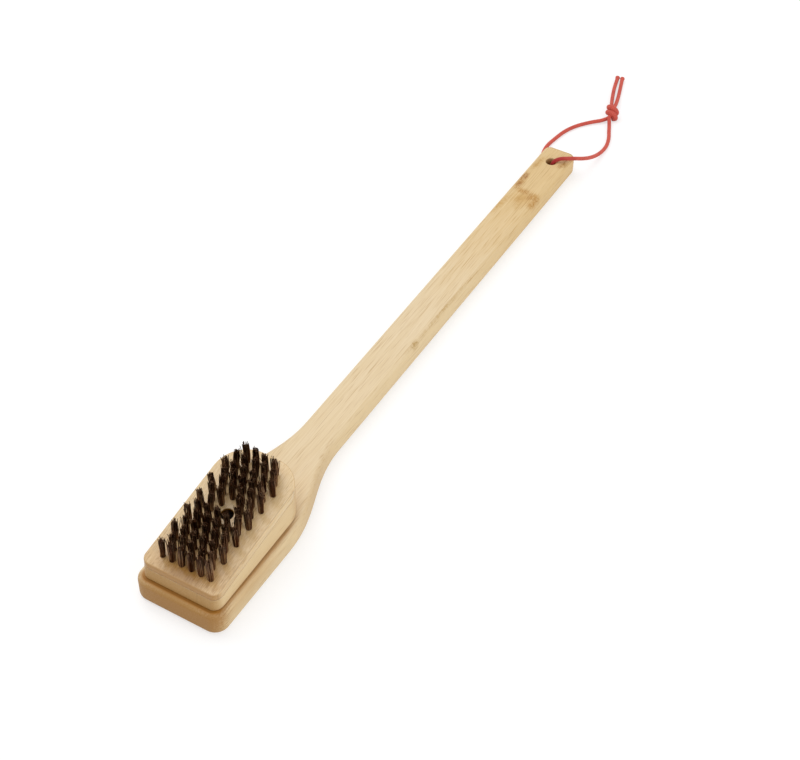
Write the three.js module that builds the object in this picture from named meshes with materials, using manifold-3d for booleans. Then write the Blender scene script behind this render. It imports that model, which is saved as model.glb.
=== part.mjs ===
// A long-handled grill brush: a bamboo handle board, a wedge-shaped bamboo head with wire tufts that one
// screw holds on the board, and a cord loop tied through the end of the handle. Millimetres, +Z up; the
// brush lies on its back with the head towards -X, and the origin is on the table under the middle of it.
import * as THREE from "three";
import { mergeVertices } from "three/addons/utils/BufferGeometryUtils.js";
import Module from "manifold-3d";

const wasm = await Module();
wasm.setup();

// Clearances
const FIT_GAP = 0.3; // between pieces that touch, are glued or slide on each other
const RECESS_GAP = 0.4; // round the screw's head in its recess

// Handle board
const LENGTH = 466; // front of the paddle to the end of the handle
const BOARD_THICKNESS = 15.2;
const BOARD_EDGE_ROUND = 3;
const PADDLE_WIDTH = 57.4;
const PADDLE_CORNER = 8.5; // radius in plan
const PADDLE_STRAIGHT = 68; // front of the paddle to the start of the shoulders
const SHOULDER_LENGTH = 80;
const SHOULDER_EASE = 0.4; // share of the shoulder that each end runs straight for
const HANDLE_WIDTH = 23.3;
const HANDLE_CORNER = 5; // radius in plan at the end of the handle
const HANG_HOLE_DIAMETER = 7.8;
const HANG_HOLE_FROM_END = 17;

// Head block
const HEAD_SETBACK = 5.5; // front of the paddle to the front of the head
const HEAD_LENGTH = 89.5;
const HEAD_WIDTH = 50.4;
const HEAD_FRONT_CORNER = 5; // radii in plan
const HEAD_FAR_CORNER = 20;
const HEAD_EDGE_ROUND = 0.9;
const HEAD_FRONT_HEIGHT = 11.9; // both plies, above the board
const HEAD_SLOPE_DEG = 8.1; // the face rises towards the handle
const FACE_PLY = 4;

// Tufts: long rows of six alternate with short rows of five, half a step over
const TUFT_FIRST_ROW = 8; // front of the head to the first row
const TUFT_ROW_STEP = 6;
const TUFT_STEP = 6.3; // along a row
const TUFT_ROWS = 13;
const TUFTS_IN_LONG_ROW = 6;
const TUFTS_IN_LAST_ROW = 4; // the head is narrower there
const TUFT_LENGTH = 13.5; // shown above the face
const TUFT_HOLE_DIAMETER = 3.6;
const STRANDS_IN_RING = 5; // with one more in the middle
const STRAND_DIAMETER = 0.8;
const STRAND_RING_RADIUS = 0.75; // where the strands are held
const STRAND_FLARE = 0.85; // how much further out the ring is at the tips
const BACKING_SLICE = 1.2; // thickness of the wood that the strands are fused to
const BACKING_MARGIN = 1.4; // round the outer strands of a group

// Head screw
const SCREW_FROM_HEAD_FRONT = 46;
const SCREW_RECESS_DIAMETER = 7.5;
const SCREW_SEAT_HEIGHT = 8; // wood left under the screw's head
const SCREW_HEAD_HEIGHT = 2.6;
const SCREW_DOME_DIAMETER = 4.8; // the flat on top of the screw's head
const SCREW_SHANK_DIAMETER = 3.5;
const SCREW_IN_BOARD = 10;
const SCREW_TIP = 2.5;
const DRIVE_SLOT_WIDTH = 0.9;
const DRIVE_SLOT_LENGTH = 3.8;
const DRIVE_SLOT_DEPTH = 1.4;

// Locating dowels
const DOWEL_DIAMETER = 6;
const DOWEL_IN_BOARD = 7;
const DOWEL_IN_HEAD = 5;
const DOWEL_CHAMFER = 0.6;
const DOWEL_FROM_HEAD_FRONT = 19.5;
const DOWEL_FROM_HEAD_END = 15;

// Hanging cord
const CORD_DIAMETER = 2.6;
const CORD_CHANNEL_DEG = 39; // direction of the channel under the handle's end, from +X towards +Y
const KNOT_LENGTH = 12;
const KNOT_DIAMETER = 9.2;
const KNOT_END_DIAMETER = 5.3;
const KNOT_WRAPS = 3;
const KNOT_WRAP_DEPTH = 0.6; // of the valleys between the wraps
const KNOT_LIFT = 0.15; // clear of the table
const KNOT_PLACE = new THREE.Vector3(90.6, -5.9, KNOT_DIAMETER / 2 + KNOT_LIFT); // from the hang hole
const KNOT_TURN_DEG = 15;

// How finely round shapes are drawn
const CORNER_STEPS = 7; // along a round corner in plan
const BOARD_ROUND_STEPS = 3; // across a rounded edge
const HEAD_ROUND_STEPS = 2;
const CHANNEL_ROOF_STEPS = 6;
const HANG_HOLE_SIDES = 16;
const RECESS_SIDES = 20; // the screw's head and its recess
const PIN_SIDES = 12; // dowels, their sockets, the screw's holes and the knot
const TUFT_HOLE_SIDES = 8;
const STRAND_SIDES = 3;
const CORD_SIDES = 8;
const CORD_STEP = 4; // length of cord from ring to ring
const RINGS_IN_WRAP = 4; // along the knot

const bamboo = new THREE.MeshStandardMaterial({ color: 0xdcc298, roughness: 0.55, metalness: 0 });
const bambooFace = new THREE.MeshStandardMaterial({ color: 0xd8bd90, roughness: 0.55, metalness: 0 });
const beech = new THREE.MeshStandardMaterial({ color: 0xc9a678, roughness: 0.7, metalness: 0 });
const darkWire = new THREE.MeshStandardMaterial({ color: 0x2c2018, roughness: 0.45, metalness: 0.3 });
const zincSteel = new THREE.MeshStandardMaterial({ color: 0x8d8c88, roughness: 0.4, metalness: 1 });
const redCord = new THREE.MeshStandardMaterial({ color: 0xc94a40, roughness: 0.8, metalness: 0 });

// Places that follow from the dimensions
const paddleFront = -LENGTH / 2;
const handleEnd = LENGTH / 2;
const hangHoleX = handleEnd - HANG_HOLE_FROM_END;
const headFront = paddleFront + HEAD_SETBACK;
const headBottom = BOARD_THICKNESS + FIT_GAP;
const headSlope = Math.tan(THREE.MathUtils.degToRad(HEAD_SLOPE_DEG));
const screwX = headFront + SCREW_FROM_HEAD_FRONT;
const screwSeat = headBottom + SCREW_SEAT_HEIGHT;
const dowelPlaces = [headFront + DOWEL_FROM_HEAD_FRONT, headFront + HEAD_LENGTH - DOWEL_FROM_HEAD_END];
const farAway = 4 * LENGTH; // outside every piece

// A closed geometry as a solid that can be joined and cut.
function solid(geometry) {
  const bare = geometry.clone();
  bare.deleteAttribute("normal");
  bare.deleteAttribute("uv");
  const merged = mergeVertices(bare);
  const vertProperties = merged.attributes.position.array;
  const triVerts = new Uint32Array(merged.index.array);
  return new wasm.Manifold(new wasm.Mesh({ numProp: 3, vertProperties, triVerts }));
}

// A solid as a geometry again.
function geometryOf(shape) {
  const mesh = shape.getMesh();
  const geometry = new THREE.BufferGeometry();
  geometry.setAttribute("position", new THREE.BufferAttribute(mesh.vertProperties, 3));
  geometry.setIndex(new THREE.BufferAttribute(mesh.triVerts, 1));
  geometry.computeVertexNormals();
  return geometry;
}

function piece(name, geometry, material) {
  const mesh = new THREE.Mesh(geometry, material);
  mesh.name = name;
  return mesh;
}

function boxGeometry(x0, x1, y0, y1, z0, z1) {
  const box = new THREE.BoxGeometry(x1 - x0, y1 - y0, z1 - z0);
  return box.translate((x0 + x1) / 2, (y0 + y1) / 2, (z0 + z1) / 2);
}

// An upright round pin or drill between two heights.
function pinGeometry(x, y, radius, z0, z1, sides) {
  const pin = new THREE.CylinderGeometry(radius, radius, z1 - z0, sides);
  return pin.rotateX(Math.PI / 2).translate(x, y, (z0 + z1) / 2);
}

// An outline extruded upwards from z = 0 with both edges rounded, the outline kept as the widest part.
function roundedPlate(outline, thickness, round, roundSteps) {
  const plate = new THREE.ExtrudeGeometry(outline, {
    depth: thickness - 2 * round,
    bevelThickness: round,
    bevelSize: round,
    bevelOffset: -round,
    bevelSegments: roundSteps,
    curveSegments: CORNER_STEPS,
  });
  return plate.translate(0, 0, round);
}

// Turns what is built level, with z = 0 on the head's face, into what lies along the sloping face.
const alongFace = new THREE.Matrix4().set(
  1, 0, 0, 0,
  0, 1, 0, 0,
  headSlope, 0, 1, headBottom + HEAD_FRONT_HEIGHT - headSlope * headFront,
  0, 0, 0, 1,
);

// Handle board: paddle, shoulders and handle in one outline.
function boardOutline() {
  const half = PADDLE_WIDTH / 2;
  const grip = HANDLE_WIDTH / 2;
  const cornerX = paddleFront + PADDLE_CORNER;
  const shoulder = paddleFront + PADDLE_STRAIGHT;
  const neck = shoulder + SHOULDER_LENGTH;
  const ease = SHOULDER_LENGTH * SHOULDER_EASE;
  const outline = new THREE.Shape();
  outline.moveTo(paddleFront, half - PADDLE_CORNER);
  outline.absarc(cornerX, PADDLE_CORNER - half, PADDLE_CORNER, Math.PI, 1.5 * Math.PI);
  outline.lineTo(shoulder, -half);
  outline.bezierCurveTo(shoulder + ease, -half, neck - ease, -grip, neck, -grip);
  outline.absarc(handleEnd - HANDLE_CORNER, HANDLE_CORNER - grip, HANDLE_CORNER, -0.5 * Math.PI, 0);
  outline.absarc(handleEnd - HANDLE_CORNER, grip - HANDLE_CORNER, HANDLE_CORNER, 0, 0.5 * Math.PI);
  outline.lineTo(neck, grip);
  outline.bezierCurveTo(neck - ease, grip, shoulder + ease, half, shoulder, half);
  outline.absarc(cornerX, half - PADDLE_CORNER, PADDLE_CORNER, 0.5 * Math.PI, Math.PI);
  return outline;
}

// The channel under the handle's end that lets the brush lie flat on its cord, with a round roof.
function cordChannel() {
  const half = CORD_DIAMETER / 2 + FIT_GAP;
  const section = new THREE.Shape();
  section.moveTo(-half, -CORD_DIAMETER);
  section.lineTo(half, -CORD_DIAMETER);
  section.lineTo(half, CORD_DIAMETER / 2 + FIT_GAP);
  section.absarc(0, CORD_DIAMETER / 2 + FIT_GAP, half, 0, Math.PI);
  const channel = new THREE.ExtrudeGeometry(section, {
    depth: HANDLE_WIDTH,
    bevelEnabled: false,
    curveSegments: CHANNEL_ROOF_STEPS,
  });
  channel.rotateX(Math.PI / 2).rotateZ(Math.PI / 2 + THREE.MathUtils.degToRad(CORD_CHANNEL_DEG));
  return channel.translate(hangHoleX, 0, 0);
}

function handleBoard() {
  let board = solid(roundedPlate(boardOutline(), BOARD_THICKNESS, BOARD_EDGE_ROUND, BOARD_ROUND_STEPS));
  const hole = HANG_HOLE_DIAMETER / 2;
  const through = 2 * BOARD_THICKNESS;
  board = board.subtract(solid(pinGeometry(hangHoleX, 0, hole, -through, through, HANG_HOLE_SIDES)));
  board = board.subtract(solid(cordChannel()));
  const pilot = SCREW_SHANK_DIAMETER / 2 + FIT_GAP;
  const pilotEnd = BOARD_THICKNESS - SCREW_IN_BOARD - FIT_GAP;
  board = board.subtract(solid(pinGeometry(screwX, 0, pilot, pilotEnd, headBottom, PIN_SIDES)));
  const socket = DOWEL_DIAMETER / 2 + FIT_GAP;
  const socketEnd = BOARD_THICKNESS - DOWEL_IN_BOARD - FIT_GAP;
  for (const x of dowelPlaces) {
    board = board.subtract(solid(pinGeometry(x, 0, socket, socketEnd, headBottom, PIN_SIDES)));
  }
  return piece("handle_board", geometryOf(board), bamboo);
}

// A dowel with chamfered ends, glued in the board, on which the head slides.
function dowel(name, x) {
  const radius = DOWEL_DIAMETER / 2;
  const low = -DOWEL_IN_BOARD;
  const profile = [
    new THREE.Vector2(0, low),
    new THREE.Vector2(radius - DOWEL_CHAMFER, low),
    new THREE.Vector2(radius, low + DOWEL_CHAMFER),
    new THREE.Vector2(radius, DOWEL_IN_HEAD - DOWEL_CHAMFER),
    new THREE.Vector2(radius - DOWEL_CHAMFER, DOWEL_IN_HEAD),
    new THREE.Vector2(0, DOWEL_IN_HEAD),
  ];
  const mesh = piece(name, new THREE.LatheGeometry(profile, PIN_SIDES), beech);
  mesh.rotation.x = Math.PI / 2;
  mesh.position.set(x, 0, BOARD_THICKNESS);
  return mesh;
}

// Head: two small corners in front, two large ones towards the handle.
function headOutline() {
  const half = HEAD_WIDTH / 2;
  const far = headFront + HEAD_LENGTH;
  const near = HEAD_FRONT_CORNER;
  const large = HEAD_FAR_CORNER;
  const outline = new THREE.Shape();
  outline.absarc(headFront + near, near - half, near, Math.PI, 1.5 * Math.PI);
  outline.absarc(far - large, large - half, large, -0.5 * Math.PI, 0);
  outline.absarc(far - large, half - large, large, 0, 0.5 * Math.PI);
  outline.absarc(headFront + near, half - near, near, 0.5 * Math.PI, Math.PI);
  return outline;
}

// The tufts as rows of places, each with the group of tufts that it belongs to.
function tuftPlaces() {
  const places = [];
  for (let row = 0; row < TUFT_ROWS; row++) {
    const x = headFront + TUFT_FIRST_ROW + row * TUFT_ROW_STEP;
    let count = TUFTS_IN_LONG_ROW - (row % 2);
    if (row === TUFT_ROWS - 1) count = TUFTS_IN_LAST_ROW;
    for (let i = 0; i < count; i++) {
      const y = (i - (count - 1) / 2) * TUFT_STEP;
      const room = SCREW_RECESS_DIAMETER / 2 + TUFT_HOLE_DIAMETER / 2;
      if (Math.hypot(x - screwX, y) < room) continue;
      let group = x < screwX ? "front" : "rear";
      if (Math.abs(x - screwX) < TUFT_ROW_STEP) group = y > 0 ? "left" : "right";
      places.push({ x, y, group });
    }
  }
  return places;
}

// The slice of wood under a group of tufts, level, with room round its outer strands.
function backingBox(places, grow) {
  const margin = STRAND_RING_RADIUS + BACKING_MARGIN - FIT_GAP + grow;
  const xs = places.map((place) => place.x);
  const ys = places.map((place) => place.y);
  const top = -FACE_PLY - FIT_GAP;
  return boxGeometry(
    Math.min(...xs) - margin,
    Math.max(...xs) + margin,
    Math.min(...ys) - margin,
    Math.max(...ys) + margin,
    top - BACKING_SLICE - grow,
    top + (grow > 0 ? FACE_PLY : 0),
  );
}

// One wire from inside the backing slice to the tip, leaning out by the flare.
function strand(place, angle, ring) {
  const foot = -FACE_PLY - FIT_GAP - BACKING_SLICE / 2;
  const out = new THREE.Vector3(Math.cos(angle), Math.sin(angle), 0);
  const low = new THREE.Vector3(place.x, place.y, foot).addScaledVector(out, ring);
  const high = new THREE.Vector3(place.x, place.y, TUFT_LENGTH);
  high.addScaledVector(out, ring > 0 ? ring + STRAND_FLARE : 0);
  const along = high.clone().sub(low);
  const radius = STRAND_DIAMETER / 2;
  const wire = new THREE.CylinderGeometry(radius, radius, along.length(), STRAND_SIDES);
  const upright = new THREE.Vector3(0, 1, 0);
  wire.applyQuaternion(new THREE.Quaternion().setFromUnitVectors(upright, along.clone().normalize()));
  const middle = low.add(high).multiplyScalar(0.5);
  return wire.translate(middle.x, middle.y, middle.z);
}

function bristles(name, places) {
  let brush = solid(backingBox(places, 0));
  for (const place of places) {
    brush = brush.add(solid(strand(place, 0, 0)));
    for (let i = 0; i < STRANDS_IN_RING; i++) {
      const angle = (2 * Math.PI * i) / STRANDS_IN_RING;
      brush = brush.add(solid(strand(place, angle, STRAND_RING_RADIUS)));
    }
  }
  return piece(name, geometryOf(brush).applyMatrix4(alongFace), darkWire);
}

// The wedge under the face ply, with the screw's recess, the pockets for the backing and the dowel sockets.
function headBase(groups) {
  const tall = HEAD_FRONT_HEIGHT + HEAD_LENGTH * headSlope + 2 * FACE_PLY;
  const plate = roundedPlate(headOutline(), tall, HEAD_EDGE_ROUND, HEAD_ROUND_STEPS);
  plate.translate(0, 0, headBottom);
  const underPly = -FACE_PLY - FIT_GAP;
  const above = boxGeometry(-farAway, farAway, -farAway, farAway, underPly, farAway);
  let base = solid(plate).subtract(solid(above.applyMatrix4(alongFace)));
  for (const places of groups) {
    base = base.subtract(solid(backingBox(places, FIT_GAP).applyMatrix4(alongFace)));
  }
  const recess = SCREW_RECESS_DIAMETER / 2;
  const roof = headBottom + tall;
  base = base.subtract(solid(pinGeometry(screwX, 0, recess, screwSeat, roof, RECESS_SIDES)));
  const shankHole = SCREW_SHANK_DIAMETER / 2 + FIT_GAP;
  base = base.subtract(solid(pinGeometry(screwX, 0, shankHole, BOARD_THICKNESS, roof, PIN_SIDES)));
  const socket = DOWEL_DIAMETER / 2 + FIT_GAP;
  const socketEnd = BOARD_THICKNESS + DOWEL_IN_HEAD + FIT_GAP;
  for (const x of dowelPlaces) {
    base = base.subtract(solid(pinGeometry(x, 0, socket, BOARD_THICKNESS, socketEnd, PIN_SIDES)));
  }
  return piece("head_base", geometryOf(base), bamboo);
}

// The ply that the tufts come through, built level and then laid along the slope.
function headFace(places) {
  const plate = roundedPlate(headOutline(), 2 * FACE_PLY, HEAD_EDGE_ROUND, HEAD_ROUND_STEPS);
  plate.translate(0, 0, -2 * FACE_PLY);
  const below = boxGeometry(-farAway, farAway, -farAway, farAway, -farAway, -FACE_PLY);
  let face = solid(plate).subtract(solid(below));
  const low = -2 * FACE_PLY;
  for (const { x, y } of places) {
    const drill = pinGeometry(x, y, TUFT_HOLE_DIAMETER / 2, low, FACE_PLY, TUFT_HOLE_SIDES);
    face = face.subtract(solid(drill));
  }
  const recess = pinGeometry(screwX, 0, SCREW_RECESS_DIAMETER / 2, low, FACE_PLY, RECESS_SIDES);
  face = face.subtract(solid(recess));
  return piece("head_face", geometryOf(face).applyMatrix4(alongFace), bambooFace);
}

// Pan-head wood screw with a cross drive; its thread is left plain inside the wood.
function headScrew() {
  const headRadius = SCREW_RECESS_DIAMETER / 2 - RECESS_GAP;
  const shank = SCREW_SHANK_DIAMETER / 2;
  const seat = FIT_GAP;
  const top = seat + SCREW_HEAD_HEIGHT;
  const end = BOARD_THICKNESS - SCREW_IN_BOARD - screwSeat;
  const profile = [
    new THREE.Vector2(0, end),
    new THREE.Vector2(shank, end + SCREW_TIP),
    new THREE.Vector2(shank, seat),
    new THREE.Vector2(headRadius, seat),
    new THREE.Vector2(headRadius, seat + SCREW_HEAD_HEIGHT / 2),
    new THREE.Vector2(SCREW_DOME_DIAMETER / 2, top),
    new THREE.Vector2(0, top),
  ];
  const body = new THREE.LatheGeometry(profile, RECESS_SIDES).rotateX(Math.PI / 2);
  const long = DRIVE_SLOT_LENGTH / 2;
  const wide = DRIVE_SLOT_WIDTH / 2;
  const bottom = top - DRIVE_SLOT_DEPTH;
  const open = top + DRIVE_SLOT_DEPTH;
  const slotX = boxGeometry(-long, long, -wide, wide, bottom, open);
  const slotY = boxGeometry(-wide, wide, -long, long, bottom, open);
  const screw = solid(body).subtract(solid(slotX)).subtract(solid(slotY));
  const mesh = piece("head_screw", geometryOf(screw), zincSteel);
  mesh.position.set(screwX, 0, screwSeat);
  return mesh;
}

// A stretch of the cord along a smooth curve through its points.
function cordRun(name, points) {
  const section = new THREE.Shape();
  for (let i = 0; i < CORD_SIDES; i++) {
    const angle = (2 * Math.PI * i) / CORD_SIDES;
    const x = (Math.cos(angle) * CORD_DIAMETER) / 2;
    const y = (Math.sin(angle) * CORD_DIAMETER) / 2;
    if (i === 0) section.moveTo(x, y);
    else section.lineTo(x, y);
  }
  const route = points.map(([x, y, z]) => new THREE.Vector3(x, y, z));
  const extrudePath = new THREE.CatmullRomCurve3(route, false, "centripetal");
  const steps = Math.round(extrudePath.getLength() / CORD_STEP);
  return piece(name, new THREE.ExtrudeGeometry(section, { steps, extrudePath }), redCord);
}

// The tight knot as one barrel with a swelling for each wrap, its axis along the tails.
function knot() {
  const profile = [new THREE.Vector2(0, -KNOT_LENGTH / 2)];
  const rings = KNOT_WRAPS * RINGS_IN_WRAP;
  for (let i = 0; i <= rings; i++) {
    const along = i / rings;
    const barrel = KNOT_END_DIAMETER + (KNOT_DIAMETER - KNOT_END_DIAMETER) * Math.sin(Math.PI * along);
    const valley = KNOT_WRAP_DEPTH * (1 + Math.cos(2 * Math.PI * KNOT_WRAPS * along));
    profile.push(new THREE.Vector2((barrel - valley) / 2, (along - 0.5) * KNOT_LENGTH));
  }
  profile.push(new THREE.Vector2(0, KNOT_LENGTH / 2));
  const mesh = piece("cord_knot", new THREE.LatheGeometry(profile, PIN_SIDES), redCord);
  mesh.rotation.z = THREE.MathUtils.degToRad(KNOT_TURN_DEG) - Math.PI / 2;
  mesh.position.copy(KNOT_PLACE);
  return mesh;
}

// The loop through the hang hole: one strand over the handle, one under it, the knot and the two tails.
// Points are measured from the hang hole's axis at table height.
function hangingCord() {
  const cord = new THREE.Group();
  cord.position.set(hangHoleX, 0, 0);
  const over = [
    [-0.4, -1.0, 8.2],
    [-0.4, -1.0, 12.0],
    [0.3, -2.0, 15.5],
    [2.2, -4.8, 17.6],
    [6.6, -9.8, 17.3],
    [12.0, -13.8, 15.4],
    [18.3, -16.0, 12.2],
    [26.5, -17.6, 8.2],
    [35.5, -18.6, 4.6],
    [45.0, -19.2, 2.2],
    [54.0, -18.9, 1.5],
    [63.0, -16.6, 1.5],
    [71.7, -12.8, 1.6],
    [79.0, -9.8, 2.3],
    [84.4, -8.4, 3.2],
  ];
  const under = [
    [-0.4, -1.0, 7.7],
    [-0.3, -0.9, 6.4],
    [0.3, -0.2, 4.2],
    [1.6, 1.0, 2.6],
    [3.4, 2.6, 1.7],
    [5.4, 4.3, 1.5],
    [11.2, 9.0, 1.5],
    [16.5, 13.2, 1.5],
    [21.6, 16.3, 1.5],
    [31.3, 18.0, 1.5],
    [43.0, 17.0, 1.5],
    [56.0, 14.4, 1.5],
    [66.0, 9.8, 1.5],
    [74.5, 3.2, 1.7],
    [80.0, -2.6, 2.4],
    [83.0, -5.0, 3.2],
  ];
  const tailLeft = [
    [96.6, -2.9, 4.3],
    [103.5, 0.0, 3.2],
    [112.0, 3.2, 1.9],
    [123.0, 6.9, 1.5],
    [137.0, 11.2, 1.5],
  ];
  const tailRight = [
    [97.3, -5.6, 4.3],
    [104.5, -3.4, 3.1],
    [114.0, -0.6, 1.8],
    [125.5, 3.0, 1.5],
    [138.0, 7.0, 1.5],
  ];
  cord.add(cordRun("cord_over", over));
  cord.add(cordRun("cord_under", under));
  cord.add(knot());
  cord.add(cordRun("cord_tail_left", tailLeft));
  cord.add(cordRun("cord_tail_right", tailRight));
  return cord;
}

const places = tuftPlaces();
const groupNames = ["front", "left", "right", "rear"];
const groups = groupNames.map((group) => places.filter((place) => place.group === group));

const brush = new THREE.Group();
brush.add(handleBoard());
brush.add(dowel("dowel_front", dowelPlaces[0]));
brush.add(dowel("dowel_rear", dowelPlaces[1]));
brush.add(headBase(groups));
brush.add(headFace(places));
groupNames.forEach((group, i) => brush.add(bristles("bristles_" + group, groups[i])));
brush.add(headScrew());
brush.add(hangingCord());

export default brush;
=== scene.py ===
import bpy
import numpy as np
from mathutils import Matrix, Vector
from mathutils.geometry import tessellate_polygon


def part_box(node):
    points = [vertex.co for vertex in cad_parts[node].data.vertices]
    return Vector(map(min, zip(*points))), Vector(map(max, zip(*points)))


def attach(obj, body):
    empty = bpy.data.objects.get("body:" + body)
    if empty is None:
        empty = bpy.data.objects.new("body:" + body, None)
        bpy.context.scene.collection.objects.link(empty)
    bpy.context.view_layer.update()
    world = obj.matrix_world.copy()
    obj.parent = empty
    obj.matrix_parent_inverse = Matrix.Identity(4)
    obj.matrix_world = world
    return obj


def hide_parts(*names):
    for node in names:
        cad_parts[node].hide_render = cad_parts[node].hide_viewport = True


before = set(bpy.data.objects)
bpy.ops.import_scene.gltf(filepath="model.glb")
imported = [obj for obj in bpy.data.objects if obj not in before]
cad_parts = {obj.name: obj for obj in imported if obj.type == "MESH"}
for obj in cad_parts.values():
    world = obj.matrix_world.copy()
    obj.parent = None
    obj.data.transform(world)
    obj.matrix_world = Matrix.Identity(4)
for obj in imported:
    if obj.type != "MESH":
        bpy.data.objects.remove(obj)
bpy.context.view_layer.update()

# Handle board
# One bamboo board, paddle and handle in one: split strips planed and glued edge to edge, sawn to
# outline, sanded round at every edge and left bare. It is drilled for the hanging cord, the head's
# screw and two dowels, and grooved under its end so that the cord gets out while it lies flat.
MM = 0.001
BOARD_FRONT, BOARD_END = (place[0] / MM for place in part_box("handle_board"))
BOARD_THICKNESS, BOARD_EDGE_ROUND = 15.2, 3.0
PADDLE_HALF, PADDLE_CORNER, PADDLE_STRAIGHT = 28.7, 8.5, 68
SHOULDER_LENGTH, SHOULDER_HANDLE = 80, 32
HANDLE_HALF, HANDLE_CORNER = 11.65, 5
HANG_HOLE_X, HANG_HOLE_RADIUS, HANG_HOLE_RIM = BOARD_END - 17, 3.9, 0.5
# Painted shade darkens the hang hole's walls, more deeply inside, and its rounded rims a little.
RIM_SHADE, HOLE_SHADES, SHADED_DEPTH = 0.2, (0.75, 0.9), 4
CHANNEL_HALF, CHANNEL_DEG, CHANNEL_LENGTH = 1.6, 39, 24
SCREW_X, *DOWEL_X = (sum(place[0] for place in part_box(name)) / 2 / MM
                     for name in ("head_screw", "dowel_front", "dowel_rear"))
# The pilot hole and the dowel sockets get painted shade on their walls too.
PILOT_RADIUS, PILOT_DEPTH, PILOT_SHADE = 2.05, 10.6, 0.9
DOWEL_RADIUS, DOWEL_IN_BOARD, DOWEL_EASE, DOWEL_SPARE, SOCKET_SHADE = 3.0, 7, 0.05, 0.3, 0.6
HANG_HOLE_SIDES, PILOT_SIDES, BORE_SIDES = 48, 24, 32
LOWER, UPPER = 0, 1  # the two faces of a plate
EDGE_STEPS, EDGE_RIM, SMOOTH_DEG = 6, 0.8, 38
STAIN_AND_SHADE_FALL, SIDE_FALL = 16, 3  # how fast stain with painted shade, and side grain, fade over a rounded edge, as powers
# Painted shade, warm as light bounced between the woods, lies in the crease where the head stands on the
# paddle.
PLAIN_RIM, FOOT_SHADE_RIM = ((EDGE_RIM, 0),), ((0.1, 1), (1.5, 1), (1.9, 0))
FOOT_SHADE_END, FOOT_SHADE_FADE, FOOT_SHADE_SIDE, FOOT_SHADE_FRONT = -150, 12, 0.7, 1.25  # painted shade round the paddle's upper edge


def corner(x, y, radius, first, last, steps=12):
    """Arc about (x, y) from one angle to another, in degrees: its points and their outward normals."""
    angle = np.radians(np.linspace(first, last, steps + 1))
    outward = np.stack([np.cos(angle), np.sin(angle)], 1)
    return np.array([x, y]) + radius * outward, outward


def mirrored_plan(arcs):
    """Closed plan, counterclockwise: the left half's arcs mirrored from front to end, then the half
    itself back to the front. Straight sides are what joins one arc to the next."""
    points, outward = (np.concatenate(part) for part in zip(*arcs))
    flip = np.array([1, -1])
    return tuple(np.concatenate([part * flip, part[::-1]]) for part in (points, outward))


def shoulder(steps=28):
    """Paddle to handle on one cubic curve: its two inner control points lie on the lines of both sides,
    and the normal is the tangent turned a quarter to the left."""
    first = BOARD_FRONT + PADDLE_STRAIGHT
    last = first + SHOULDER_LENGTH
    control = np.array([
        [first, PADDLE_HALF], [first + SHOULDER_HANDLE, PADDLE_HALF],
        [last - SHOULDER_HANDLE, HANDLE_HALF], [last, HANDLE_HALF],
    ])
    t = np.linspace(0, 1, steps + 1)[:, None]
    weights = np.concatenate([(1 - t) ** 3, 3 * t * (1 - t) ** 2, 3 * t ** 2 * (1 - t), t ** 3], 1)
    slopes = np.concatenate([(1 - t) ** 2, 2 * t * (1 - t), t ** 2], 1) @ np.diff(control, axis=0)
    left = slopes[:, ::-1] * np.array([-1, 1])
    return weights @ control, left / np.linalg.norm(left, axis=1, keepdims=True)


def grid(rows, columns, flipped=False):
    """Quads of a grid whose columns run round and close: each joins a point, the next one in its row,
    and the two above them."""
    row, column = np.meshgrid(np.arange(rows - 1), np.arange(columns), indexing="ij")
    after = (column + 1) % columns
    quads = np.stack([row * columns + column, row * columns + after,
                      (row + 1) * columns + after, (row + 1) * columns + column], -1).reshape(-1, 4)
    return quads[:, ::-1] if flipped else quads


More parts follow.
